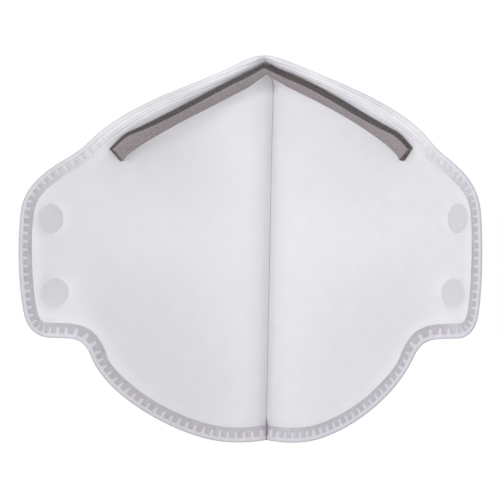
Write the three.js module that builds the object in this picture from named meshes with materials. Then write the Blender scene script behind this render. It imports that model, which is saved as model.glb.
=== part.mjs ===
// Disposable fold-flat dust mask, opened out ready to put on.
//
// Millimetres. +X is the wearer's right, +Y points forward, away from the face, and +Z is up.
// The origin is the middle of the face opening, in the plane of the ear tabs' edges.
//
// Four layers of nonwoven are welded together round the rim and creased down the middle. Each layer is
// a left panel, a right panel and a nose flap, because the crease and the nose fold are where they bend.
// Every piece is laid out on the front view (x, z) and then wrapped onto one curved surface.
import * as THREE from 'three';

// ---- The curved surface: the middle of the laminate ----
const CREASE_DEPTH = 48; // centre crease in front of the ear tabs, at mid height
const CREASE_LEAN = 0.12; // how far the crease leans forward per millimetre of height
const CREASE_SHOULDER = { slope: 0.3, width: 5 }; // extra sideways slope close beside the crease
const HALF_WIDTH = 88.9; // crease to the edge of an ear tab, seen from the front
const PANEL_SLOPE = 0.15; // sideways slope of a panel where it leaves the shoulder
const PANEL_CURL = 0.0044; // growth of that slope towards the ear
const CHEEK_TUCK = 18; // how far the cheeks are drawn in towards the face
const TUCK_HEIGHTS = { none: 0, full: 55 }; // distances below the origin
const TUCK_WIDTHS = { crease: 40, full: 60, none: 84 }; // distances from the crease
const NOSE_FOLD = { top: 63, fall: 0.51 }; // height at the crease, and drop to either side
const NOSE_BEND = { sides: 1.85, middle: 1.1, spread: 10 }; // slope of the flap, and extra at the crease
const NOSE_BEND_FADES = { from: 35, to: 70 }; // distances from the crease
const NOSE_TURN_BACK = { start: 3.5, at: 8.6, end: 4.5, flare: 0.9 }; // heights above the fold, and slope
const BROW_BULGE = { depth: 7.5, at: 34, from: 10, to: 55 }; // fullness either side of the crease, higher up

// ---- The laminate, as distances from the middle surface (minus is towards the face) ----
const LAYERS = {
  inner_lining: [-1.25, -0.9],
  filter_layer: [-0.6, -0.2],
  support_layer: [0.1, 0.6],
  outer_cover: [0.9, 1.25],
};
const RIM = [-0.35, 0.35];
const GAP = 0.3; // clearance between neighbouring pieces
const WELD_WIDTH = 5.7; // width of the welded rim
const CREASE_EDGE = 0.7; // where a panel starts, beside the crease

// ---- Nose foam and clip ----
const FOAM_WIDTH = 6.7;
const FOAM = [-4.8, -2];
const CLIP_WIDTH = 5;
const CLIP = [1.7, 2.5];
const CLIP_REACH = 0.84; // share of the foam's length that the clip covers

// ---- Head straps and the round welds that hold them ----
const WELD_SPOT_RADIUS = 5.9;
const WELD_SPOT = [1.55, 1.9];
const WELD_SPOTS = { upper: { x: 79, z: 11.1 }, lower: { x: 77.2, z: -17.3 } };
const STRAP_WIDTH = 7;
const STRAP = [2.2, 2.9];
const STRAP_TAIL = 6; // strap that runs on past its weld

// ---- Materials ----
function cloth(color, roughness) {
  return new THREE.MeshStandardMaterial({ color, roughness, metalness: 0 });
}
const MATERIALS = {
  inner_lining: cloth(0xe6e5ea, 0.9),
  filter_layer: cloth(0xf2f3f5, 0.95),
  support_layer: cloth(0xeeeeec, 0.95),
  outer_cover: cloth(0xeceef0, 0.85),
  edge_weld: cloth(0xd9d6dc, 0.55),
  foam: cloth(0x958d8d, 0.95),
  strap: cloth(0xf0f0f0, 0.8),
  clip: new THREE.MeshStandardMaterial({ color: 0xc9ccd0, roughness: 0.35, metalness: 1 }),
};

// ---- Surface ----

// The height gained by a slope that grows from 0 to 1 over a width.
function ramp(along, width) {
  if (along <= 0) return 0;
  return along < width ? along ** 2 / (2 * width) : along - width / 2;
}

// How far the nose flap is bent back towards the face at a point of the front view. Above the fold it
// turns towards the face, and under the rim it turns back and flares a little.
function noseBend(x, z) {
  const { start, at, end, flare } = NOSE_TURN_BACK;
  const above = (z - (NOSE_FOLD.top - NOSE_FOLD.fall * x)) / Math.hypot(1, NOSE_FOLD.fall);
  const slope = NOSE_BEND.sides + NOSE_BEND.middle * Math.exp(-((x / NOSE_BEND.spread) ** 2));
  const fade = 1 - THREE.MathUtils.smoothstep(x, NOSE_BEND_FADES.from, NOSE_BEND_FADES.to);
  return fade * (slope * ramp(above, start) - (slope + flare) * ramp(above - at, end));
}

// How far a cheek is drawn in: not beside the crease, nor on the ear tab.
function cheekTuck(x, z) {
  const { crease, full, none } = TUCK_WIDTHS;
  const low = THREE.MathUtils.smoothstep(-z, TUCK_HEIGHTS.none, TUCK_HEIGHTS.full);
  const besideCrease = 1 - Math.exp(-((x / crease) ** 2));
  const besideTab = 1 - THREE.MathUtils.smoothstep(x, full, none);
  return CHEEK_TUCK * low * besideCrease * besideTab;
}

function browBulge(x, z) {
  const { depth, at, from, to } = BROW_BULGE;
  const share = (x / at) ** 2;
  return depth * THREE.MathUtils.smoothstep(z, from, to) * share * Math.exp(1 - share);
}

function surfaceDepth(x, z) {
  const { slope, width } = CREASE_SHOULDER;
  const shoulder = slope * width * (1 - Math.exp(-x / width));
  const lean = CREASE_LEAN * z * (1 - (x / HALF_WIDTH) ** 2);
  const sideways = shoulder + PANEL_SLOPE * x + PANEL_CURL * x ** 2;
  return CREASE_DEPTH + lean - sideways + browBulge(x, z) - cheekTuck(x, z) - noseBend(x, z);
}

// Slopes of the surface on its right-hand side.
function slopes(x, z) {
  const h = 0.05;
  const from = Math.max(x, h);
  return {
    sideways: (surfaceDepth(from + h, z) - surfaceDepth(from - h, z)) / (2 * h),
    upwards: (surfaceDepth(x, z + h) - surfaceDepth(x, z - h)) / (2 * h),
  };
}

// The 3-D point over (x, z), a distance t out from the surface. On the crease itself both sides' offsets
// have to agree, so the point moves in the middle plane only.
function wrap(x, z, t) {
  const side = Math.sign(x);
  const { sideways, upwards } = slopes(Math.abs(x), z);
  const point = new THREE.Vector3(x, surfaceDepth(Math.abs(x), z), z);
  const normal = new THREE.Vector3(-sideways * side, 1, -upwards);
  const stretch = side === 0 ? Math.hypot(1, sideways, upwards) / (1 + upwards ** 2) : 1 / normal.length();
  return point.addScaledVector(normal, t * stretch);
}

// ---- Outline of the right half, seen from the front, from the chin to the top ----
function bezier(...xz) {
  const [a, b, c, d] = [0, 2, 4, 6].map((i) => new THREE.Vector2(xz[i], xz[i + 1]));
  return new THREE.CubicBezierCurve(a, b, c, d);
}

function path(...curves) {
  const whole = new THREE.CurvePath();
  curves.forEach((curve) => whole.add(curve));
  return whole;
}

const sideEdge = path(
  bezier(0, -74, 8, -75.3, 14, -75.1, 20, -73.8), // chin
  bezier(20, -73.8, 35.4, -70, 55.6, -56.5, 62.3, -41.3), // cheek
  bezier(62.3, -41.3, 64.3, -37, 66.5, -35, 71, -34.6), // into the ear tab
  bezier(71, -34.6, 74, -34.4, 76, -34.4, 78.5, -34.35), // foot of the ear tab
  bezier(78.5, -34.35, 83, -34.3, 86.2, -31, 87.35, -26), // lower corner
  bezier(87.35, -26, 89.5, -15, 89.6, 4, 88.5, 14), // ear side
  bezier(88.5, 14, 87.5, 22.5, 82.5, 28, 75, 33.4), // upper corner
  bezier(75, 33.4, 71.7, 35.6, 68.2, 38.4, 65.9, 41.2), // waist above the ear tab
);
const noseEdge = path(
  bezier(65.9, 41.2, 59.5, 48.4, 51, 53.1, 41.5, 57.9),
  bezier(41.5, 57.9, 31, 62.6, 21, 66.6, 12, 70.5),
  bezier(12, 70.5, 8, 72.3, 4, 74, 0, 74), // rounded peak
);
const noseFold = path(
  bezier(0, 63, 16, 54.8, 32, 46.7, 44, 40.6),
  bezier(44, 40.6, 50, 37.5, 55, 36.6, 62.2, 37.6), // to the waist
);

// Places along a line that starts at the crease, with a first step of its own size.
function stations(steps, firstStep) {
  const later = Array.from({ length: steps }, (_, i) => THREE.MathUtils.lerp(firstStep, 1, i / (steps - 1)));
  return [0, ...later];
}

// A point on an edge, moved in over the surface by a width measured along it.
function inset(edge, u, width) {
  const spot = edge.getPointAt(u);
  const along = edge.getTangentAt(u);
  const inwards = new THREE.Vector2(-along.y, along.x);
  if (spot.x < 1e-6) inwards.set(0, Math.sign(inwards.y));
  const { sideways, upwards } = slopes(spot.x, spot.y);
  const slope = sideways * inwards.x + upwards * inwards.y;
  return spot.addScaledVector(inwards, width / Math.hypot(1, slope));
}

// ---- Solids ----

// A slab of along x across cells, whose corners are given by place(i, j, is it the outer face). Both faces
// are split along the same diagonals, so that stacked slabs keep an even gap. The diagonals change over
// halfway, so that they lean the same way at both ends.
function slab(along, across, place) {
  const row = across + 1;
  const face = (along + 1) * row;
  const corners = [];
  for (const outer of [false, true]) {
    for (let i = 0; i <= along; i++) {
      for (let j = 0; j <= across; j++) corners.push(...place(i, j, outer).toArray());
    }
  }
  const triangles = [];
  const quad = (a, b, c, d) => triangles.push(a, b, c, a, c, d);
  for (let i = 0; i < along; i++) {
    for (let j = 0; j < across; j++) {
      const cell = [i * row + j, (i + 1) * row + j, (i + 1) * row + j + 1, i * row + j + 1];
      if (i >= along / 2) cell.push(cell.shift());
      const [a, b, c, d] = cell;
      triangles.push(a, c, b, a, d, c);
      quad(face + a, face + b, face + c, face + d);
    }
    const [low, high] = [i * row, i * row + across];
    quad(low, low + row, face + low + row, face + low);
    quad(high + row, high, face + high, face + high + row);
  }
  for (let j = 0; j < across; j++) {
    const end = along * row + j;
    quad(j + 1, j, face + j, face + j + 1);
    quad(end, end + 1, face + end + 1, face + end);
  }
  const geometry = new THREE.BufferGeometry();
  geometry.setAttribute('position', new THREE.Float32BufferAttribute(corners, 3));
  geometry.setIndex(triangles);
  geometry.computeVertexNormals();
  return geometry;
}

// The sheet between two rows of front-view points, [inner, outer] distances from the surface.
function sheetBetween(low, high, across, [inner, outer]) {
  return slab(low.length - 1, across, (i, j, outside) => {
    const spot = low[i].clone().lerp(high[i], j / across);
    return wrap(spot.x, spot.y, outside ? outer : inner);
  });
}

// The disc between the cover and a strap, at a strap weld of the right half: round on the slanting tab.
function weldDisc({ x, z }) {
  const [inner, outer] = WELD_SPOT;
  const { sideways, upwards } = slopes(x, z);
  const disc = new THREE.CylinderGeometry(WELD_SPOT_RADIUS, WELD_SPOT_RADIUS, outer - inner, 28);
  const corners = disc.getAttribute('position');
  for (let i = 0; i < corners.count; i++) {
    const spotX = x + corners.getX(i) / Math.hypot(1, sideways);
    const spotZ = z + corners.getZ(i) / Math.hypot(1, upwards);
    corners.setXYZ(i, ...wrap(spotX, spotZ, (inner + outer) / 2 + corners.getY(i)));
  }
  disc.computeVertexNormals();
  return disc;
}

function mesh(name, geometry, material) {
  const made = new THREE.Mesh(geometry, material);
  made.name = name;
  return made;
}

// ---- Panels of one half ----
const SIDE_STEPS = 44;
const FOLD_STATIONS = stations(14, 0.06).map((u) => u * 0.965);
const FOLD_GAP = 0.5; // between a panel and the nose flap
const PANEL_STEPS = 7; // from the crease to the edge

// Rows across a panel, each from a point beside the crease to a point of the panel's edge. They go round
// from the chin past the ear tab and back along the nose fold. The first and last row run beside the crease.
function panelRows() {
  const crease = [];
  const edge = [];
  const addRow = (height, point) => {
    crease.push(new THREE.Vector2(CREASE_EDGE, height));
    edge.push(point);
  };
  for (let i = 0; i <= SIDE_STEPS; i++) {
    const u = i / SIDE_STEPS;
    addRow(rowHeight(u), inset(sideEdge, u, WELD_WIDTH + GAP));
  }
  for (const u of FOLD_STATIONS.toReversed()) {
    const height = THREE.MathUtils.lerp(NOSE_FOLD.top - 11, ROW_HEIGHTS.at(-1)[1], u);
    addRow(height, inset(noseFold, u, -FOLD_GAP / 2));
  }
  edge[0].x = CREASE_EDGE;
  edge.at(-1).x = CREASE_EDGE;
  return { crease, edge };
}

// Where on the crease the row starts that ends a share u of the way round the side edge.
const ROW_HEIGHTS = [
  [0, -58],
  [0.4, -40],
  [0.47, -16],
  [0.52, 2],
  [0.8, 10],
  [1, 24],
];
function rowHeight(u) {
  const k = Math.max(1, ROW_HEIGHTS.findIndex(([share]) => u <= share));
  const [[from, low], [to, high]] = [ROW_HEIGHTS[k - 1], ROW_HEIGHTS[k]];
  return THREE.MathUtils.mapLinear(u, from, to, low, high);
}

function panel(layer) {
  const { crease, edge } = panelRows();
  return sheetBetween(crease, edge, PANEL_STEPS, LAYERS[layer]);
}

// The welded rim of one half, from the chin to the waist above the ear tab.
function sideRim() {
  const us = Array.from({ length: SIDE_STEPS + 1 }, (_, i) => i / SIDE_STEPS);
  const outer = us.map((u) => inset(sideEdge, u, 0));
  const inner = us.map((u) => inset(sideEdge, u, WELD_WIDTH));
  outer[0].x = CREASE_EDGE;
  inner[0].x = CREASE_EDGE;
  return sheetBetween(inner, outer, 1, RIM);
}

function half(side) {
  const group = new THREE.Group();
  for (const layer of Object.keys(LAYERS)) {
    group.add(mesh(`${layer}_${side}`, panel(layer), MATERIALS[layer]));
  }
  group.add(mesh(`edge_weld_${side}`, sideRim(), MATERIALS.edge_weld));
  for (const [level, spot] of Object.entries(WELD_SPOTS)) {
    group.add(mesh(`strap_weld_${level}_${side}`, weldDisc(spot), MATERIALS.edge_weld));
  }
  return group;
}

// ---- Nose flap, in one piece across the crease ----

// A row of points on the right, mirrored to run from the right end to the left end.
function bothSides(rightHand) {
  const leftHand = rightHand.slice(1).map((p) => new THREE.Vector2(-p.x, p.y));
  return [...rightHand.toReversed(), ...leftHand];
}

function noseFlap(layer) {
  const low = FOLD_STATIONS.map((u) => inset(noseFold, u, FOLD_GAP / 2));
  const high = FOLD_STATIONS.map((u) => inset(noseEdge, 1 - u, WELD_WIDTH + GAP));
  return sheetBetween(bothSides(low), bothSides(high), 5, LAYERS[layer]);
}

function noseRim() {
  const us = [...FOLD_STATIONS, 0.995];
  const low = us.map((u) => inset(noseEdge, 1 - u, WELD_WIDTH));
  const high = us.map((u) => inset(noseEdge, 1 - u, 0));
  return sheetBetween(bothSides(low), bothSides(high), 3, RIM);
}

// ---- Foam and clip: strips that follow a line over the nose flap ----
const stripLine = path(
  bezier(0, 71, 14.5, 64.6, 35, 54.3, 51.5, 43.4),
  bezier(51.5, 43.4, 53.5, 42.1, 56.6, 38.2, 59.2, 34),
);

function strip(width, reach, span) {
  const us = stations(12, 0.1).map((u) => u * reach);
  const low = us.map((u) => inset(stripLine, u, -width / 2));
  const high = us.map((u) => inset(stripLine, u, width / 2));
  return sheetBetween(bothSides(low), bothSides(high), 4, span);
}

// ---- Head straps, lying across the front ----
function strap({ x, z }) {
  const reach = x + STRAP_TAIL;
  const steps = 22;
  const us = Array.from({ length: steps + 1 }, (_, i) => (reach * i) / steps);
  const low = us.map((u) => new THREE.Vector2(u, z - STRAP_WIDTH / 2));
  const high = us.map((u) => new THREE.Vector2(u, z + STRAP_WIDTH / 2));
  return sheetBetween(bothSides(low), bothSides(high), 1, STRAP);
}

// ---- Assembly ----
const right = half('right');
const left = half('left');
left.scale.x = -1;

const middle = new THREE.Group();
for (const layer of Object.keys(LAYERS)) {
  middle.add(mesh(`${layer}_nose`, noseFlap(layer), MATERIALS[layer]));
}
middle.add(mesh('edge_weld_nose', noseRim(), MATERIALS.edge_weld));
middle.add(mesh('nose_foam', strip(FOAM_WIDTH, 1, FOAM), MATERIALS.foam));
middle.add(mesh('nose_clip', strip(CLIP_WIDTH, CLIP_REACH, CLIP), MATERIALS.clip));
middle.add(mesh('head_strap_upper', strap(WELD_SPOTS.upper), MATERIALS.strap));
middle.add(mesh('head_strap_lower', strap(WELD_SPOTS.lower), MATERIALS.strap));

const mask = new THREE.Group();
mask.add(left, right, middle);

export default mask;
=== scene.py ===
"""Disposable fold-flat dust mask: the finished look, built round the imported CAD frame.

Every sheet is laid out on the front view (x, z), in millimetres, and wrapped onto one curved surface,
so that neighbouring layers never cross. The frame gives the box that it all has to fit.
"""

import math

import bpy
import numpy as np
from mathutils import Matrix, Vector


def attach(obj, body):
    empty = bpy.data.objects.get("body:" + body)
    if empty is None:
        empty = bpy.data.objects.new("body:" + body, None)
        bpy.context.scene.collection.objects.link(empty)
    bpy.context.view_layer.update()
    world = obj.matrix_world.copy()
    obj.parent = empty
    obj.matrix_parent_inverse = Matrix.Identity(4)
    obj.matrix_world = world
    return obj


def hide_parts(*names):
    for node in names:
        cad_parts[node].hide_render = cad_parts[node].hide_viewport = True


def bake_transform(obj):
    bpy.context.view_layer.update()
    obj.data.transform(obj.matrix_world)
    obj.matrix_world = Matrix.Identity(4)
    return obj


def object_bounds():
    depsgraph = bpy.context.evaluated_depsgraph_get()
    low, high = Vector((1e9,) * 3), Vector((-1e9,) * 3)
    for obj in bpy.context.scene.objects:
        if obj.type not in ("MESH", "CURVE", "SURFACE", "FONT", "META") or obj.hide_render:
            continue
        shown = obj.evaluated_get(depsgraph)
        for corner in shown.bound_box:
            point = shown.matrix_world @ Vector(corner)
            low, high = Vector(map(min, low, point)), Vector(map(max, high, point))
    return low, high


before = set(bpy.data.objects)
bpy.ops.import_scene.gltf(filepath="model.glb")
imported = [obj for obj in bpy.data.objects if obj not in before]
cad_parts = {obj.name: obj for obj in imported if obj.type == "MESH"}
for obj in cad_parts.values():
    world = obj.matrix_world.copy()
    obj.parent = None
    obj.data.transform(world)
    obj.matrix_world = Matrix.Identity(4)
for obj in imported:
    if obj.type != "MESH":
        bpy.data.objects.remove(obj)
CAD_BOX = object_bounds()

MM = 0.001

# The curved surface, the middle of the laminate
CREASE_DEPTH = 48.0
CREASE_LEAN = 0.12
SHOULDER_SLOPE = 0.5  # extra sideways slope close beside the crease
SHOULDER_WIDTH = 3.4
CREASE_ROLL = 0.95  # slope with which the sheets roll into the crease, and rise again beside it
CREASE_ROLL_WIDTH = 4.8
CREASE_ROLL_FADES = (38.0, 60.0)  # heights, below the nose fold
CREASE_SHADE = 9.0  # how far from the crease the lining's colour carries painted shade
CREASE_CLEAR = 0.3  # share of its distance from the crease that a point keeps on the hollow side
ON_CREASE = 1e-6  # a point nearer than this to the middle is on the crease
HALF_WIDTH = 88.9  # from the crease, where its lean has faded out
PANEL_SLOPE = 0.15
PANEL_CURL = 0.0044
CHEEK_TUCK = 18.0  # how far the cheeks are drawn in towards the face
TUCK_HEIGHTS = (0.0, 55.0)  # from none to full, below the origin
TUCK_FROM_CREASE = 40.0
TUCK_WIDTHS = (60.0, 84.0)  # from full to none, at the ear tab
NOSE_FOLD_TOP = 63.0
NOSE_FOLD_FALL = 0.51
NOSE_FOLD_SOFTNESS = 3.5
NOSE_BEND = 1.85  # slope of the flap towards the face
NOSE_BEND_MIDDLE = 1.1  # what is added to it at the crease
NOSE_BEND_SPREAD = 10.0
NOSE_BEND_FADES = (35.0, 70.0)  # distances from the crease
TURN_BACK_AT = 8.6  # above the fold
TURN_BACK_WIDTH = 4.5
FLARE = 0.9  # slope of the rim away from the face
BROW_BULGE = 7.5  # fullness either side of the crease, higher up
BROW_AT = 34.0
BROW_HEIGHTS = (10.0, 55.0)
RIPPLES = 7
RIPPLE_LENGTHS = (19.0, 7.5)  # the shortest wave, and how much longer each next one is
RIPPLE_STEEPNESS = 0.0021

# How the curves are cut up
CURVE_POINTS = 240
WELD_LINE_POINTS = 300
TANGENT_REACH = 0.2
CREASE_ROWS = ((0, 0.4, 0.47, 0.52, 0.8, 1), (-58, -40, -16, 2, 10, 24))  # share of side edge, height
TOP_ROW = NOSE_FOLD_TOP - 11  # height on the crease of the last row below the flap

# Each sheet's two faces, as distances out from that surface (minus is towards the face)
LAYERS = {
    "inner_lining": (-1.25, -0.9),
    "filter_layer": (-0.6, -0.2),
    "support_layer": (0.1, 0.6),
    "outer_cover": (0.9, 1.25),
}
WELD_PINCH = 0.24  # share of their thickness that the sheets keep where they are welded
PINCH_WIDTH = 3.6  # over which they swell again
SPOT_PINCH = 0.42  # share that they keep under a strap weld

# The welded rim and its comb
WELD_WIDTH = 5.7
TOOTH_PITCH = 3.2
TOOTH_SHARE = 0.57
TOOTH_TIP = 1.75  # from the mask's edge
TOOTH_ROOT = 4.2
TOOTH_TAPER = 0.07  # how much wider a tooth gets per millimetre inwards, as a share of its place
TOOTH_SIDE_BLUR = 0.13
TOOTH_END_BLUR = 0.15
PALER_NOSE = (-45.0, 10.0)  # from the waist, where the weld gets paler
PLAIN_NOSE = (-6.0, 10.0)  # from the waist, where the comb gives way to thin lines
PRESSED_LINES = (TOOTH_TIP, TOOTH_ROOT)
PRESSED_LINE_DEPTH = 0.6  # as a share of a tooth's
PRESSED_LINE_WIDTH = 0.22
GREY_LINES = (TOOTH_TIP, 3.1, TOOTH_ROOT)
PLAIN_HALF_THICKNESS = 0.52
PRESSED_HALF_THICKNESS = 0.2
CUT_EDGE_SHARE = 0.25  # of that thickness, on the outermost line
CUT_EDGE_WIDTHS = (-0.05, 0.45)
RIM_COLUMNS = (0, 0.12, 0.4, 1.0, 1.35, 1.6, 1.9, 2.2, 2.8, 3.4, 3.8, 4.05, 4.35, 4.7, 5.1, 5.5, 5.9)
STEPS_PER_TOOTH = 10
CLEAR_OF_CHIN = 1.0  # no row of points nearer the crease than this, but the one on it
CLEAR_OF_PEAK = 2.2

# Nose foam and clip
FOAM_WIDTH = 5.95
FOAM = (-4.2, -1.35)
FOAM_ROUNDING = 0.35
FOAM_REACH = 0.97  # share of the strip line that it covers
FOAM_STEPS = (10.0, 1.1)  # the first one spans the hollow of the crease
FOAM_SPREAD = 0.38  # how much wider it gets towards its ends, as a share
FOAM_END_SLANT = 0.006  # how much longer it is per millimetre towards the mouth, as a share
CLIP_WIDTH = 5.0
CLIP = (1.3, 2.1)
CLIP_REACH = 0.84
CLIP_STEPS = (1.5, 1.5)
BAND_ROUNDING = 0.3  # of the clip and the straps

# Head straps and their welds
WELD_SPOT_RADIUS = 5.9
WELD_SPOTS = {"upper": (79.0, 11.1), "lower": (77.2, -17.3)}
SPOT_EDGE = (WELD_SPOT_RADIUS - 0.4, WELD_SPOT_RADIUS + 1.8)  # where the sheets swell again
SPOT_RINGS = (1.0, 2.0, 2.8, 3.6, 4.4, 5.1, 5.5, 5.75, WELD_SPOT_RADIUS)
SPOT_TURNS = 48
SPOT_HALF_THICKNESS = 0.66
SPOT_ROUNDING = (0.5, 0.2)  # width and height of its rounded edge
STRAP_WIDTH = 7.0
STRAP = (1.35, 2.15)
STRAP_TAIL = 6.0  # strap that runs on past its weld
STRAP_ROWS = 60

# Repeats of the fine textures, in metres
DOT_PITCH = 0.0011
RIB_PITCH = 0.0009
KNIT_PITCH = 0.0012


# ---------------------------------------------------------------- surface


def ripple(x, z):
    """Slow, shallow unevenness of a soft sheet: a few plane waves in different directions."""
    shortest, longer = RIPPLE_LENGTHS
    total = 0.0
    for n in range(RIPPLES):
        direction = 2.4 * n + 0.5
        length = shortest + longer * n
        along = x * math.cos(direction) + z * math.sin(direction)
        total = total + RIPPLE_STEEPNESS * length * np.sin(2 * math.pi * along / length + 1.7 * n * n)
    return total


def smoothstep(low, high, value):
    t = np.clip((value - low) / (high - low), 0, 1)
    return t * t * (3 - 2 * t)


def ramp(along, width):
    """The height gained by a slope that grows from 0 to 1 over a width."""
    along = np.maximum(along, 0)
    return np.where(along < width, along**2 / (2 * width), along - width / 2)


def nose_bend(x, z):
    """How far the nose flap is bent back. Under the rim it turns forward again and flares a little."""
    above = (z - (NOSE_FOLD_TOP - NOSE_FOLD_FALL * x)) / math.hypot(1, NOSE_FOLD_FALL)
    slope = NOSE_BEND + NOSE_BEND_MIDDLE * np.exp(-((x / NOSE_BEND_SPREAD) ** 2))
    fade = 1 - smoothstep(*NOSE_BEND_FADES, x)
    turned = slope * ramp(above, NOSE_FOLD_SOFTNESS)
    turned_back = (slope + FLARE) * ramp(above - TURN_BACK_AT, TURN_BACK_WIDTH)
    return fade * (turned - turned_back)


def cheek_tuck(x, z):
    """How far a cheek is drawn in: not beside the crease, nor on the ear tab."""
    beside_crease = 1 - np.exp(-((x / TUCK_FROM_CREASE) ** 2))
    return CHEEK_TUCK * smoothstep(*TUCK_HEIGHTS, -z) * beside_crease * (1 - smoothstep(*TUCK_WIDTHS, x))


def brow_bulge(x, z):
    share = (x / BROW_AT) ** 2
    return BROW_BULGE * smoothstep(*BROW_HEIGHTS, z) * share * np.exp(1 - share)


def depth(x, z):
    reach = np.abs(x)
    lean = CREASE_LEAN * z * (1 - (reach / HALF_WIDTH) ** 2)
    shoulder = SHOULDER_SLOPE * SHOULDER_WIDTH * (1 - np.exp(-reach / SHOULDER_WIDTH))
    roll = CREASE_ROLL * reach * np.exp(-reach / CREASE_ROLL_WIDTH) * (1 - smoothstep(*CREASE_ROLL_FADES, z))
    sideways = shoulder + roll + PANEL_SLOPE * reach + PANEL_CURL * reach**2
    shaped = brow_bulge(reach, z) - cheek_tuck(reach, z) - nose_bend(reach, z)
    return CREASE_DEPTH + lean - sideways + shaped + ripple(x, z)


def slopes(x, z):
    """How fast the depth grows sideways and upwards. On the crease, sideways means to its right."""
    h = 0.05
    side = np.where(x < 0, -1.0, 1.0)
    start = np.maximum(np.abs(x), h) * side
    sideways = (depth(start + h, z) - depth(start - h, z)) / (2 * h)
    upwards = (depth(x, z + h) - depth(x, z - h)) / (2 * h)
    return sideways, upwards


def wrap(flat, out):
    """The 3-D points over front-view points, a distance out from the surface, in millimetres.
    Beside the crease they slide along their own half, so that the two halves meet on it."""
    flat = np.asarray(flat, float)
    x, z = flat[:, 0], flat[:, 1]
    sideways, upwards = slopes(x, z)
    push = np.asarray(out, float) / np.sqrt(1 + sideways**2 + upwards**2)
    moved = x - sideways * push
    side = np.where(x < 0, -1.0, 1.0)
    clear = side * np.maximum(side * moved, CREASE_CLEAR * np.abs(x))
    clear = np.where(np.abs(x) < ON_CREASE, 0.0, clear)
    y = depth(x, z) + push + sideways * (clear - moved)
    return np.stack([clear, y, z - upwards * push], axis=1)


# ---------------------------------------------------------------- outline of the right half


def running_length(points):
    """How far each point of a row is from the first, along the row."""
    steps = np.linalg.norm(np.diff(points, axis=0), axis=1)
    return np.concatenate([[0], np.cumsum(steps)])


class Path:
    """A chain of Bezier curves on the front view, measured along its length."""

    def __init__(self, *curves):
        t = np.linspace(0, 1, CURVE_POINTS)[:, None]
        runs = []
        for curve in curves:
            a, b, c, d = np.array(curve, float).reshape(4, 2)
            runs.append(a * (1 - t) ** 3 + 3 * b * t * (1 - t) ** 2 + 3 * c * t**2 * (1 - t) + d * t**3)
        self.points = np.concatenate([run[min(i, 1) :] for i, run in enumerate(runs)])
        self.at = running_length(self.points)
        self.length = self.at[-1]

    def __call__(self, distance):
        return np.stack([np.interp(distance, self.at, self.points[:, k]) for k in (0, 1)], axis=1)

    def tangent(self, distance):
        ahead = self(np.minimum(distance + TANGENT_REACH, self.length))
        behind = self(np.maximum(distance - TANGENT_REACH, 0))
        step = ahead - behind
        return step / np.linalg.norm(step, axis=1)[:, None]

    def inset(self, distance, width):
        """Points beside the path, a width to its left measured over the surface."""
        distance = np.asarray(distance, float)
        points = self(distance)
        along = self.tangent(distance)
        inwards = np.stack([-along[:, 1], along[:, 0]], axis=1)
        on_crease = np.abs(points[:, 0]) < ON_CREASE
        inwards[on_crease, 0] = 0
        inwards[on_crease, 1] = np.sign(inwards[on_crease, 1])
        sideways, upwards = slopes(points[:, 0], points[:, 1])
        slope = sideways * inwards[:, 0] + upwards * inwards[:, 1]
        return points + inwards * (np.asarray(width) / np.hypot(1, slope))[:, None]


SIDE_CURVES = [
    (0, -74, 8, -75.3, 14, -75.1, 20, -73.8),  # chin
    (20, -73.8, 35.4, -70, 55.6, -56.5, 62.3, -41.3),  # cheek
    (62.3, -41.3, 64.3, -37, 66.5, -35, 71, -34.6),  # into the ear tab
    (71, -34.6, 74, -34.4, 76, -34.4, 78.5, -34.35),  # foot of the ear tab
    (78.5, -34.35, 83, -34.3, 86.2, -31, 87.35, -26),  # lower corner
    (87.35, -26, 89.5, -15, 89.6, 4, 88.5, 14),  # ear side
    (88.5, 14, 87.5, 22.5, 82.5, 28, 75, 33.4),  # upper corner
    (75, 33.4, 71.7, 35.6, 68.2, 38.4, 65.9, 41.2),  # waist above the ear tab
]
NOSE_CURVES = [
    (65.9, 41.2, 59.5, 48.4, 51, 53.1, 41.5, 57.9),
    (41.5, 57.9, 31, 62.6, 21, 66.6, 12, 70.5),
    (12, 70.5, 8, 72.3, 4, 74, 0, 74),  # rounded peak
]
side_edge = Path(*SIDE_CURVES)
nose_edge = Path(*NOSE_CURVES)
whole_edge = Path(*SIDE_CURVES, *NOSE_CURVES)
waist = nose_edge.inset([0], WELD_WIDTH)[0]
nose_fold = Path(
    (0, NOSE_FOLD_TOP, 16, 54.8, 32, 46.7, 44, 40.6),
    (44, 40.6, 50, 37.5, 55, 36.6, *waist),
)
strip_line = Path(
    (0, 71, 14.5, 64.6, 35, 54.3, 51.5, 43.4),
    (51.5, 43.4, 53.5, 42.1, 56.6, 38.2, 59.2, 34),
)


# ---------------------------------------------------------------- meshes


def grid_faces(rows, columns, first=0):
    """Quads of a grid whose vertices are numbered row by row."""
    faces = []
    for i in range(rows - 1):
        for j in range(columns - 1):
            a = first + i * columns + j
            faces.append((a, a + columns, a + columns + 1, a + 1))
    return faces


def merge_points(points, faces):
    """Joins points that lie on each other, and drops the faces that this flattens."""
    keys = np.round(points, 5)
    _, keep, where = np.unique(keys, axis=0, return_index=True, return_inverse=True)
    where = where.ravel()
    merged = []
    for face in faces:
        corners = []
        for corner in face:
            n = int(where[corner])
            if n not in corners:
                corners.append(n)
        if len(corners) > 2:
            merged.append(tuple(corners))
    return points[keep], merged


def thicken(faces, count):
    """Faces of a shell: the inner copy, the outer copy, numbered after it, and walls between their edges."""
    edges = dict.fromkeys((a, b) for face in faces for a, b in zip(face, face[1:] + face[:1]))
    shell = [tuple(reversed(face)) for face in faces]
    shell += [tuple(n + count for n in face) for face in faces]
    for a, b in edges:
        if (b, a) not in edges:
            shell.append((a, b, b + count, a + count))
    return shell


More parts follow.
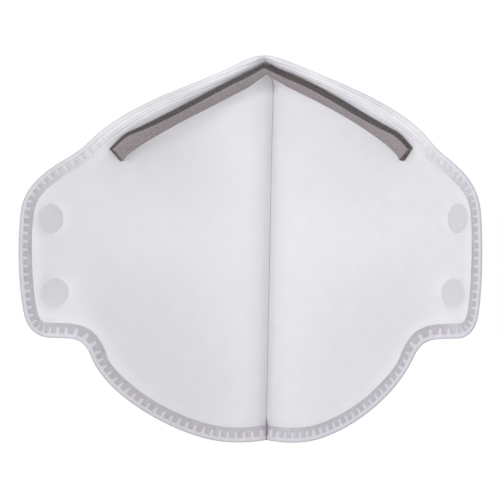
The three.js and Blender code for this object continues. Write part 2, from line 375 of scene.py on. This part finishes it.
def add_mesh(name, points, faces, uv, material, sharp=32, **attributes):
    """A new object from millimetre points. uv is the flat place of each point, in millimetres.
    Edges that turn by more than sharp degrees stay sharp."""
    mesh = bpy.data.meshes.new(name)
    mesh.from_pydata((np.asarray(points) * MM).tolist(), [], faces)
    mesh.materials.append(material)
    corners = np.zeros(len(mesh.loops), int)
    mesh.loops.foreach_get("vertex_index", corners)
    layer = mesh.uv_layers.new(name="Flat")
    layer.data.foreach_set("uv", (np.asarray(uv)[corners] * MM).ravel())
    for key, values in attributes.items():
        stored = mesh.attributes.new(key, "FLOAT", "POINT")
        stored.data.foreach_set("value", np.asarray(values, np.float32))
    mesh.polygons.foreach_set("use_smooth", [True] * len(mesh.polygons))
    mesh.set_sharp_from_angle(angle=math.radians(sharp))
    mesh.update()
    made = bpy.data.objects.new(name, mesh)
    bpy.context.scene.collection.objects.link(made)
    return made


def bend(piece):
    """Bakes the piece's placement into its mesh."""
    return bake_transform(piece)


# ---------------------------------------------------------------- layout of the sheets


def graded(count, start_step, end_step):
    """0 to 1 in steps that begin and end short."""
    t = np.linspace(0, 1, count)
    steps = np.interp(t[1:], [0, 0.12, 0.85, 1], [start_step, 1, 1, end_step])
    return np.concatenate([[0], np.cumsum(steps)]) / steps.sum()


def layout(side_steps, fold_steps, columns, flap_rows):
    """Front-view points and quads of a whole sheet, out to the weld."""
    along = np.linspace(0, side_edge.length, side_steps)
    edge = side_edge.inset(along, WELD_WIDTH)
    edge[0, 0] = 0
    fold_at = np.linspace(nose_fold.length, 0, fold_steps)
    fold = nose_fold(fold_at)
    edge[-1] = fold[0]
    high = np.concatenate([edge, fold[1:]])
    heights = np.interp(along / side_edge.length, *CREASE_ROWS)
    heights = np.concatenate([heights, np.linspace(heights[-1], TOP_ROW, fold_steps)[1:]])
    low = np.stack([np.zeros(len(high)), heights], axis=1)
    across = graded(columns, 0.6, 0.3)[:, None]
    panel = np.concatenate([a + (b - a) * across for a, b in zip(low, high)])
    faces = grid_faces(len(high), columns)

    rim = nose_edge.inset(nose_edge.length * (1 - fold_at / nose_fold.length), WELD_WIDTH)
    rim[0] = fold[0]
    rim[-1, 0] = 0
    up = graded(flap_rows, 0.35, 0.4)[:, None]
    flap = np.concatenate([a + (b - a) * up for a, b in zip(fold, rim)])
    # Known fault: these come out turned over from the panel's faces, so the flap of the finished sheet is
    # inside out, and a wall stands inside the sheet along the nose fold. Without reversed() they match.
    faces += [tuple(reversed(f)) for f in grid_faces(fold_steps, flap_rows, len(panel))]

    right = np.concatenate([panel, flap])
    left = right * [-1, 1]
    faces = faces + [tuple(n + len(right) for n in reversed(f)) for f in faces]
    return merge_points(np.concatenate([right, left]), faces)


def distance_to(points, path_points):
    gaps = [np.hypot(points[:, 0] - p[0], points[:, 1] - p[1]) for p in path_points]
    return np.min(gaps, axis=0)


def swell(points):
    """How much of its full thickness the laminate has at each front-view point."""
    weld_line = whole_edge.inset(np.linspace(0, whole_edge.length, WELD_LINE_POINTS), WELD_WIDTH)
    reach, height = np.abs(points[:, 0]), points[:, 1]
    near = distance_to(np.stack([reach, height], axis=1), weld_line)
    full = WELD_PINCH + (1 - WELD_PINCH) * np.sin(0.5 * math.pi * np.clip(near / PINCH_WIDTH, 0, 1))
    for x, z in WELD_SPOTS.values():
        away = np.hypot((reach - x) * math.hypot(1, slopes(x, z)[0]), height - z)
        full = full * (SPOT_PINCH + (1 - SPOT_PINCH) * smoothstep(*SPOT_EDGE, away))
    return full


def sheet_piece(layer, plan, material):
    points, faces = plan
    full = swell(points)
    inner, outer = LAYERS[layer]
    body = np.concatenate([wrap(points, inner * full), wrap(points, outer * full)])
    both = np.concatenate([points, points])
    piece = add_mesh(layer, body, thicken(faces, len(points)), both, material, crease=np.abs(both[:, 0]))
    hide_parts(*[f"{layer}_{part}" for part in ("left", "right", "nose")])
    return bend(piece)


# ---------------------------------------------------------------- welded rim


def over_nose(along):
    """0 along the side edge, 1 over the nose."""
    return smoothstep(*PLAIN_NOSE, along - side_edge.length)


def comb(along, inwards):
    """1 where the weld presses the rim, 0 where it doesn't: a line along the inside, with teeth outwards.
    The gaps between the teeth get narrower inwards. Over the nose there are only faint lines."""
    wave = np.abs(((along / TOOTH_PITCH + 0.5) % 1) - 0.5) * 2
    share = TOOTH_SHARE + TOOTH_TAPER * (inwards - TOOTH_TIP)
    tooth = 1 - smoothstep(share - TOOTH_SIDE_BLUR, share + TOOTH_SIDE_BLUR, wave)
    tip = smoothstep(TOOTH_TIP - TOOTH_END_BLUR, TOOTH_TIP + TOOTH_END_BLUR, inwards)
    line = smoothstep(TOOTH_ROOT - TOOTH_END_BLUR, TOOTH_ROOT + TOOTH_END_BLUR, inwards)
    toothed = np.maximum(tooth * tip, line)
    lines = 0.0
    for place in PRESSED_LINES:
        lines = lines + PRESSED_LINE_DEPTH * np.exp(-(((inwards - place) / PRESSED_LINE_WIDTH) ** 2))
    return toothed + (lines - toothed) * over_nose(along)


def rim_piece(material):
    along = np.arange(0, whole_edge.length, TOOTH_PITCH / STEPS_PER_TOOTH)
    along = along[(along == 0) | (along > CLEAR_OF_CHIN)]
    along = np.append(along[along < whole_edge.length - CLEAR_OF_PEAK], whole_edge.length)
    rows = []
    for width in RIM_COLUMNS:
        points = whole_edge.inset(along, width)
        points[[0, -1], 0] = 0
        rows.append(points)
    right = np.stack(rows, axis=1)
    left = right[-2:0:-1] * [-1, 1]
    ring = np.concatenate([right, left]).reshape(-1, 2)
    place = np.concatenate([along, -along[-2:0:-1]])
    s, v = [g.ravel() for g in np.meshgrid(place, RIM_COLUMNS, indexing="ij")]
    pressed = comb(np.abs(s), v)
    half = PLAIN_HALF_THICKNESS + (PRESSED_HALF_THICKNESS - PLAIN_HALF_THICKNESS) * pressed
    half = half * (CUT_EDGE_SHARE + (1 - CUT_EDGE_SHARE) * smoothstep(*CUT_EDGE_WIDTHS, v))
    columns = len(RIM_COLUMNS)
    faces = grid_faces(len(place), columns)
    last = (len(place) - 1) * columns
    for j in range(columns - 1):
        faces.append((last + j, j, j + 1, last + j + 1))
    faces = [tuple(reversed(f)) for f in faces]
    body = np.concatenate([wrap(ring, -half), wrap(ring, half)])
    flat = np.stack([s, v], axis=1)
    piece = add_mesh(
        "edge_weld",
        body,
        thicken(faces, len(ring)),
        np.concatenate([flat, flat]),
        material,
        sharp=50,
        pressed=np.concatenate([pressed, pressed]),
        inwards=np.concatenate([v, v]),
        nose=np.tile(smoothstep(*PALER_NOSE, np.abs(s) - side_edge.length), 2),
        crease=np.tile(np.abs(ring[:, 0]), 2),
    )
    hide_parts("edge_weld_left", "edge_weld_right", "edge_weld_nose")
    return bend(piece)


# ---------------------------------------------------------------- strips: foam, clip, straps


def strip_piece(name, centre, width, span, rounding, material):
    """A bar that follows a row of front-view points, right hand first, with a rounded cross-section.
    centre gives, for a share of the width from -1 to 1, the row of points at that share."""
    inner, outer = span
    middle, half = (inner + outer) / 2, (outer - inner) / 2
    corner = min(rounding, half * 0.98)
    profile = []
    for quarter, (sx, sy) in enumerate([(1, 1), (-1, 1), (-1, -1), (1, -1)]):
        for n in range(4):
            angle = math.radians(90 * quarter + 30 * n)
            across = sx * (width / 2 - corner) + corner * math.cos(angle)
            out = sy * (half - corner) + corner * math.sin(angle)
            profile.append((across, out))
    body = np.stack([wrap(centre(across), middle + out) for across, out in profile], axis=1)
    stations, around = body.shape[:2]
    faces = []
    for i in range(stations - 1):
        for j in range(around):
            k = (j + 1) % around
            faces.append((i * around + j, i * around + k, (i + 1) * around + k, (i + 1) * around + j))
    faces.append(tuple(range(around))[::-1])
    faces.append(tuple((stations - 1) * around + j for j in range(around)))
    lengthwise = np.repeat(running_length(body[:, 0]), around)
    round_it = np.tile(running_length(np.array(profile)), stations)
    flat = np.stack([lengthwise, round_it], axis=1)
    # side is 1 on all faces but the one towards the wearer; the foam's material paints shade on them.
    side = np.tile([float(out > -(half - corner * 0.6)) for _, out in profile], stations)
    piece = add_mesh(name, body.reshape(-1, 3), faces, flat, material, sharp=40, side=side)
    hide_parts(name)
    return bend(piece)


def along_strip(reach, first_step, step, slant=0.0, spread=0.0):
    """Rows of points along the nose strip line, mirrored to run from the right end to the left end."""
    end = strip_line.length * reach
    at = np.concatenate([[0], np.arange(first_step, end, step), [end]])

    def rows(across):
        widths = across * (1 + spread * (at / end) ** 4)
        points = strip_line.inset(at * (1 - slant * across), widths)
        points[0, 0] = 0
        return np.concatenate([points[::-1], points[1:] * [-1, 1]])

    return rows


def across_front(x, z):
    """Rows of points straight across the front, from a tail past the right weld to one past the left."""
    reach = x + STRAP_TAIL
    at = np.concatenate([[0], np.linspace(3, reach, STRAP_ROWS)])
    at = np.concatenate([at[::-1], -at[1:]])

    def rows(across):
        return np.stack([at, np.full(len(at), z + across)], axis=1)

    return rows


def weld_spot(name, x, z, material):
    """A round weld: flat melted faces with a rounded edge."""
    squeeze = 1 / math.hypot(1, slopes(x, z)[0])
    points, radii = [(x, z)], [0.0]
    for r in SPOT_RINGS:
        for n in range(SPOT_TURNS):
            angle = 2 * math.pi * n / SPOT_TURNS
            points.append((x + r * math.cos(angle) * squeeze, z + r * math.sin(angle)))
            radii.append(r)
    faces = [(0, 1 + n, 1 + (n + 1) % SPOT_TURNS) for n in range(SPOT_TURNS)]
    for ring in range(len(SPOT_RINGS) - 1):
        a, b = 1 + ring * SPOT_TURNS, 1 + (ring + 1) * SPOT_TURNS
        for n in range(SPOT_TURNS):
            m = (n + 1) % SPOT_TURNS
            faces.append((a + n, b + n, b + m, a + m))
    faces = [tuple(reversed(f)) for f in faces]
    points = np.array(points)
    width, height = SPOT_ROUNDING
    rounded = smoothstep(WELD_SPOT_RADIUS - width, WELD_SPOT_RADIUS, np.array(radii))
    half = SPOT_HALF_THICKNESS - height * rounded
    body = np.concatenate([wrap(points, -half), wrap(points, half)])
    both = np.concatenate([points, points])
    piece = add_mesh(name, body, thicken(faces, len(points)), both, material, sharp=60)
    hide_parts(name)
    return piece


# ---------------------------------------------------------------- materials


class Surface:
    """A node material on the Principled shader. Inputs that are the same all over are set on the shader."""

    def __init__(self, name, color, roughness, **inputs):
        self.material = bpy.data.materials.new(name)
        self.material.use_nodes = True
        self.tree = self.material.node_tree
        self.shader = self.tree.nodes["Principled BSDF"]
        self.shader.inputs["Base Color"].default_value = (*color, 1)
        self.shader.inputs["Roughness"].default_value = roughness
        for key, value in inputs.items():
            self.shader.inputs[key.replace("_", " ").title()].default_value = value
        self.flat = self.node("ShaderNodeUVMap")
        self.flat.uv_map = "Flat"

    def feed(self, socket, value):
        """Links a socket to another, or sets its number or colour."""
        if isinstance(value, bpy.types.NodeSocket):
            self.tree.links.new(value, socket)
        elif isinstance(value, tuple):
            socket.default_value = (*value, 1)
        else:
            socket.default_value = value

    def node(self, kind, **inputs):
        made = self.tree.nodes.new(kind)
        for key, value in inputs.items():
            self.feed(made.inputs[key.replace("_", " ").title()], value)
        return made

    def stretched(self, along, across, turn=0.0):
        """Flat coordinates scaled for a texture, in features per metre, turned by an angle."""
        made = self.node("ShaderNodeMapping", Vector=self.flat.outputs["UV"])
        made.inputs["Rotation"].default_value = (0, 0, turn)
        made.inputs["Scale"].default_value = (along, across, 1)
        return made.outputs["Vector"]

    def noise(self, vector, scale=1.0, detail=3.0, roughness=0.5):
        made = self.node("ShaderNodeTexNoise", Vector=vector, Scale=scale, Detail=detail, Roughness=roughness)
        return made.outputs["Fac"]

    def math(self, operation, *values):
        made = self.tree.nodes.new("ShaderNodeMath")
        made.operation = operation
        for socket, value in zip(made.inputs, values):
            self.feed(socket, value)
        return made.outputs[0]

    def attribute(self, name):
        made = self.tree.nodes.new("ShaderNodeAttribute")
        made.attribute_name = name
        return made.outputs["Fac"]

    def ramp(self, value, *stops):
        """A colour ramp of (place, colour) stops."""
        made = self.node("ShaderNodeValToRGB", Fac=value)
        elements = made.color_ramp.elements
        while len(elements) < len(stops):
            elements.new(0.5)
        for element, (place, color) in zip(elements, stops):
            element.position = place
            element.color = (*color, 1)
        return made.outputs["Color"]

    def mix(self, share, a, b, mode="MIX"):
        made = self.tree.nodes.new("ShaderNodeMix")
        made.data_type = "RGBA"
        made.blend_type = mode
        for place, value in ((0, share), (6, a), (7, b)):  # the colour sockets of a mix are 6, 7 and out 2
            self.feed(made.inputs[place], value)
        return made.outputs[2]

    def finish(self, color=None, roughness=None, height=None, distance=0.0002, strength=0.5):
        if color is not None:
            self.tree.links.new(color, self.shader.inputs["Base Color"])
        if roughness is not None:
            self.tree.links.new(roughness, self.shader.inputs["Roughness"])
        if height is not None:
            bump = self.node("ShaderNodeBump", Height=height)
            bump.inputs["Strength"].default_value = strength
            bump.inputs["Distance"].default_value = distance
            self.tree.links.new(bump.outputs["Normal"], self.shader.inputs["Normal"])
        return self.material


def fibres(surface, size=1.0):
    """The height of a mat of fine fibres lying in several directions."""
    total = None
    for n in range(4):
        vector = surface.stretched(3400 / size, 330 / size, 0.35 + n * 0.82)
        layer = surface.noise(vector, detail=2.0)
        total = layer if total is None else surface.math("ADD", total, layer)
    return surface.math("MULTIPLY", total, 0.25)


def lining_material():
    s = Surface("Lining", (0.82, 0.82, 0.85), 0.62, sheen_weight=0.25, sheen_roughness=0.5)
    mottle = s.noise(s.stretched(160, 160), detail=5.0, roughness=0.6)
    tone = s.ramp(mottle, (0.25, (0.70, 0.695, 0.715)), (0.75, (0.73, 0.73, 0.75)))
    beside = s.math("MULTIPLY", s.attribute("crease"), 1 / CREASE_SHADE)
    # Painted shade along the crease: line is the dark line on it, and near and far make the greyer band
    # beside it. pressed carries this painted shade, on top of the shade that the rolled geometry gives.
    line, near, far = (0.38, 0.36, 0.39), (0.86, 0.855, 0.87), (0.945, 0.94, 0.95)
    pressed = s.ramp(beside, (0.0, line), (0.085, near), (0.42, far), (1.0, (1, 1, 1)))
    color = s.mix(1.0, tone, pressed, "MULTIPLY")
    return s.finish(color, None, fibres(s), distance=0.00012, strength=0.45)


def cover_material():
    s = Surface("Cover", (0.84, 0.85, 0.87), 0.68, sheen_weight=0.15)
    mottle = s.noise(s.stretched(120, 120), detail=5.0, roughness=0.6)
    tone = s.ramp(mottle, (0.25, (0.71, 0.715, 0.735)), (0.75, (0.77, 0.77, 0.785)))
    flat = s.stretched(1, 1, math.radians(45))
    axes = s.node("ShaderNodeSeparateXYZ", Vector=flat)
    rate = 2 * math.pi / DOT_PITCH
    waves = [s.math("SINE", s.math("MULTIPLY", axes.outputs[k], rate)) for k in (0, 1)]
    dots = s.math("MULTIPLY", waves[0], waves[1])
    bonded = s.math("GREATER_THAN", s.math("ABSOLUTE", dots), 0.72)
    height = s.math("SUBTRACT", fibres(s), s.math("MULTIPLY", bonded, 0.45))
    dotted = s.mix(s.math("MULTIPLY", bonded, 0.25), tone, (0.70, 0.71, 0.74))
    # The cover is a little greyer within 0.8 mm of the crease.
    pressed = s.ramp(s.attribute("crease"), (0.0, (0.8, 0.8, 0.81)), (0.8, (1, 1, 1)))
    color = s.mix(1.0, dotted, pressed, "MULTIPLY")
    return s.finish(color, None, height, distance=0.00016, strength=0.55)


def hidden_material(name, color):
    s = Surface(name, color, 0.9)
    mottle = s.noise(s.stretched(220, 220), detail=4.0)
    shade = tuple(0.9 * c for c in color)
    return s.finish(s.ramp(mottle, (0.3, shade), (0.7, color)), None, fibres(s, 1.6))


def weld_material():
    """Melted teeth between plain cloth, painted shade along the outer cut edge and at the crease, and thin
    pressed lines over the nose.
    """
    s = Surface("Weld", (0.8, 0.79, 0.83), 0.5)
    mottle = s.noise(s.stretched(260, 260), detail=5.0, roughness=0.65)
    plain = s.ramp(mottle, (0.3, (0.61, 0.59, 0.63)), (0.75, (0.69, 0.67, 0.71)))
    melted = s.ramp(mottle, (0.3, (0.44, 0.42, 0.46)), (0.75, (0.53, 0.505, 0.55)))
    pressed = s.attribute("pressed")
    inwards = s.math("MULTIPLY", s.attribute("inwards"), 1 / WELD_WIDTH)
    # edge is painted shade along the rim's outer cut edge.
    white, grey, edge = (1, 1, 1), (0.72, 0.70, 0.74), (0.72, 0.71, 0.73)
    comb_color = s.mix(pressed, plain, melted)
    painted_edge_shade = s.ramp(inwards, (0.02, edge), (0.09, white))
    toothed = s.mix(1.0, comb_color, painted_edge_shade, "MULTIPLY")
    # The first stop paints the same shade along the outer edge over the nose.
    stops = [(0.0, (0.9, 0.9, 0.9)), (0.1, white)]
    blur = 0.035
    for place in GREY_LINES:
        share = place / WELD_WIDTH
        stops += [(share - blur, white), (share, grey), (share + blur, white)]
    cloth = s.ramp(mottle, (0.3, (0.70, 0.69, 0.72)), (0.75, (0.77, 0.76, 0.79)))
    plain_nose = s.mix(1.0, cloth, s.ramp(inwards, *stops), "MULTIPLY")
    # Painted shade in the notch where the rim crosses the crease.
    crease = s.ramp(s.attribute("crease"), (0.0, (0.55, 0.53, 0.56)), (0.7, white))
    comb_with_painted_shade = s.mix(1.0, toothed, crease, "MULTIPLY")
    color = s.mix(s.attribute("nose"), comb_with_painted_shade, plain_nose)
    gloss = s.math("SUBTRACT", 0.7, s.math("MULTIPLY", pressed, 0.3))
    return s.finish(color, gloss, fibres(s), distance=0.00012, strength=0.4)


def spot_material():
    s = Surface("Strap weld", (0.62, 0.62, 0.63), 0.5)
    mottle = s.noise(s.stretched(320, 320), detail=6.0, roughness=0.7)
    color = s.ramp(mottle, (0.3, (0.59, 0.585, 0.605)), (0.7, (0.63, 0.625, 0.645)))
    return s.finish(color, None, mottle, distance=0.0003, strength=0.4)


def foam_material():
    s = Surface("Foam", (0.3, 0.27, 0.27), 0.95)
    cells = s.node("ShaderNodeTexVoronoi", Vector=s.stretched(2400, 2400), Scale=1.0)
    grain = s.noise(s.stretched(1100, 1100), detail=4.0, roughness=0.65)
    # face is the foam's lit colour; side is the same foam with painted shade, on its sides and back.
    face = s.ramp(grain, (0.35, (0.25, 0.217, 0.222)), (0.65, (0.37, 0.33, 0.336)))
    side = s.ramp(grain, (0.4, (0.045, 0.038, 0.038)), (0.6, (0.19, 0.165, 0.163)))
    color = s.mix(s.attribute("side"), face, side)
    return s.finish(color, None, cells.outputs["Distance"], distance=0.0005, strength=0.6)


def clip_material():
    s = Surface("Aluminium", (0.78, 0.78, 0.79), 0.32, metallic=1.0)
    brushed = s.noise(s.stretched(60, 2600), detail=4.0)
    rough = s.math("ADD", s.math("MULTIPLY", brushed, 0.22), 0.22)
    return s.finish(None, rough, brushed, distance=0.00005, strength=0.4)


def strap_material():
    s = Surface("Elastic", (0.86, 0.86, 0.86), 0.7, sheen_weight=0.2)
    axes = s.node("ShaderNodeSeparateXYZ", Vector=s.flat.outputs["UV"])
    ribs = s.math("SINE", s.math("MULTIPLY", axes.outputs[1], 2 * math.pi / RIB_PITCH))
    knit = s.math("SINE", s.math("MULTIPLY", axes.outputs[0], 2 * math.pi / KNIT_PITCH))
    height = s.math("ADD", ribs, s.math("MULTIPLY", s.math("MULTIPLY", ribs, knit), 0.6))
    tone = s.ramp(s.noise(s.stretched(300, 300)), (0.3, (0.80, 0.80, 0.80)), (0.7, (0.89, 0.89, 0.89)))
    return s.finish(tone, None, height, distance=0.00018, strength=0.6)


# ---------------------------------------------------------------- the mask

fine = layout(side_steps=150, fold_steps=54, columns=50, flap_rows=26)
coarse = layout(side_steps=70, fold_steps=26, columns=24, flap_rows=12)

lining = sheet_piece("inner_lining", fine, lining_material())
filter_layer = sheet_piece("filter_layer", coarse, hidden_material("Filter", (0.88, 0.88, 0.9)))
support = sheet_piece("support_layer", coarse, hidden_material("Support", (0.85, 0.85, 0.84)))
cover = sheet_piece("outer_cover", fine, cover_material())
rim = rim_piece(weld_material())

foam_rows = along_strip(FOAM_REACH, *FOAM_STEPS, FOAM_END_SLANT, FOAM_SPREAD)
foam = strip_piece("nose_foam", foam_rows, FOAM_WIDTH, FOAM, FOAM_ROUNDING, foam_material())
clip_rows = along_strip(CLIP_REACH, *CLIP_STEPS)
strip_piece("nose_clip", clip_rows, CLIP_WIDTH, CLIP, BAND_ROUNDING, clip_material())
elastic = strap_material()
for level, (x, z) in WELD_SPOTS.items():
    name = f"head_strap_{level}"
    strip_piece(name, across_front(x, z), STRAP_WIDTH, STRAP, BAND_ROUNDING, elastic)

spots = spot_material()
for level, (x, z) in WELD_SPOTS.items():
    for side, sign in (("left", -1), ("right", 1)):
        spot = weld_spot(f"strap_weld_{level}_{side}", sign * x, z, spots)
        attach(spot, f"{side}_half")


# ---------------------------------------------------------------- stage, light, camera

VIEW_AZIMUTH = math.radians(9.7)
VIEW_DISTANCE = 2.6
VIEW_WIDTH = 0.190
VIEW_CENTRE = Vector((0.0, 0.0, -0.0008))
SENSOR = 36
FLOOR_DROP = 0.05
FLOOR_RADIUS = 0.7  # small enough that the level view over it sees only the white studio

# Azimuth, elevation, distance, size, power and colour
LIGHTS = {
    "key": (-30, -2, 1.6, 1.0, 15.5, (0.955, 0.965, 1.0)),
    "fill": (35, -1, 1.8, 1.2, 10, (1.0, 0.98, 0.97)),
    "back": (150, 40, 1.6, 1.0, 6, (1.0, 1.0, 1.0)),
}

# Axis, its values where the studio is greyest and where it is white, and the share of white at the first
STUDIO_FADES = ((1, -0.5, 0.0, 0.62), (2, -0.5, -0.08, 0.6), (2, 0.75, 0.1, 0.65))


def studio_floor():
    s = Surface("Floor", (0.78, 0.78, 0.785), 0.9)
    tone = s.noise(s.stretched(3, 3))
    color = s.ramp(tone, (0.0, (0.77, 0.77, 0.775)), (1.0, (0.8, 0.8, 0.805)))
    return s.finish(color)


def add_floor():
    low = (CAD_BOX[0][2] - FLOOR_DROP) / MM
    turns = 96
    angles = [2 * math.pi * n / turns for n in range(turns)]
    points = [(FLOOR_RADIUS / MM * math.cos(a), FLOOR_RADIUS / MM * math.sin(a), low) for a in angles]
    floor = add_mesh("floor", points, [tuple(range(turns))], np.array(points)[:, :2], studio_floor())


def add_area(name, azimuth, elevation, distance, size, power, color):
    """A soft light seen from the mask at an azimuth to the right of the viewer."""
    data = bpy.data.lights.new(name, "AREA")
    data.shape = "DISK"
    data.size = size
    data.energy = power
    data.color = color
    light = bpy.data.objects.new(name, data)
    a, e = math.radians(azimuth), math.radians(elevation)
    direction = Vector((math.sin(a) * math.cos(e), -math.cos(a) * math.cos(e), math.sin(e)))
    light.location = VIEW_CENTRE + direction * distance
    light.rotation_euler = direction.to_track_quat("Z", "Y").to_euler()
    bpy.context.scene.collection.objects.link(light)


def add_world():
    """White behind the mask as the camera sees it, and greyer in front of it, above and below."""
    world = bpy.data.worlds.new("studio")
    world.use_nodes = True
    tree = world.node_tree
    direction = tree.nodes.new("ShaderNodeTexCoord")
    axes = tree.nodes.new("ShaderNodeSeparateXYZ")
    tree.links.new(direction.outputs["Generated"], axes.inputs[0])
    shares = []
    for axis, low, high, share in STUDIO_FADES:
        part = tree.nodes.new("ShaderNodeMapRange")
        tree.links.new(axes.outputs[axis], part.inputs["Value"])
        for key, value in {"From Min": low, "From Max": high, "To Min": share, "To Max": 1.0}.items():
            part.inputs[key].default_value = value
        shares.append(part.outputs[0])
    whole = shares[0]
    for share in shares[1:]:
        product = tree.nodes.new("ShaderNodeMath")
        product.operation = "MULTIPLY"
        tree.links.new(whole, product.inputs[0])
        tree.links.new(share, product.inputs[1])
        whole = product.outputs[0]
    background = tree.nodes["Background"]
    tree.links.new(whole, background.inputs["Strength"])
    background.inputs["Color"].default_value = (1, 1, 1, 1)
    bpy.context.scene.world = world


def add_camera():
    data = bpy.data.cameras.new("camera")
    data.sensor_width = SENSOR
    data.lens = SENSOR * VIEW_DISTANCE / VIEW_WIDTH
    data.clip_end = 50
    camera = bpy.data.objects.new("camera", data)
    back = Vector((math.sin(VIEW_AZIMUTH), -math.cos(VIEW_AZIMUTH), 0))
    camera.location = VIEW_CENTRE + back * VIEW_DISTANCE
    camera.rotation_euler = back.to_track_quat("Z", "Y").to_euler()
    bpy.context.scene.collection.objects.link(camera)
    bpy.context.scene.camera = camera


add_floor()
for name, light in LIGHTS.items():
    add_area(name, *light)
add_world()
bpy.context.scene.view_settings.view_transform = "Standard"
add_camera()
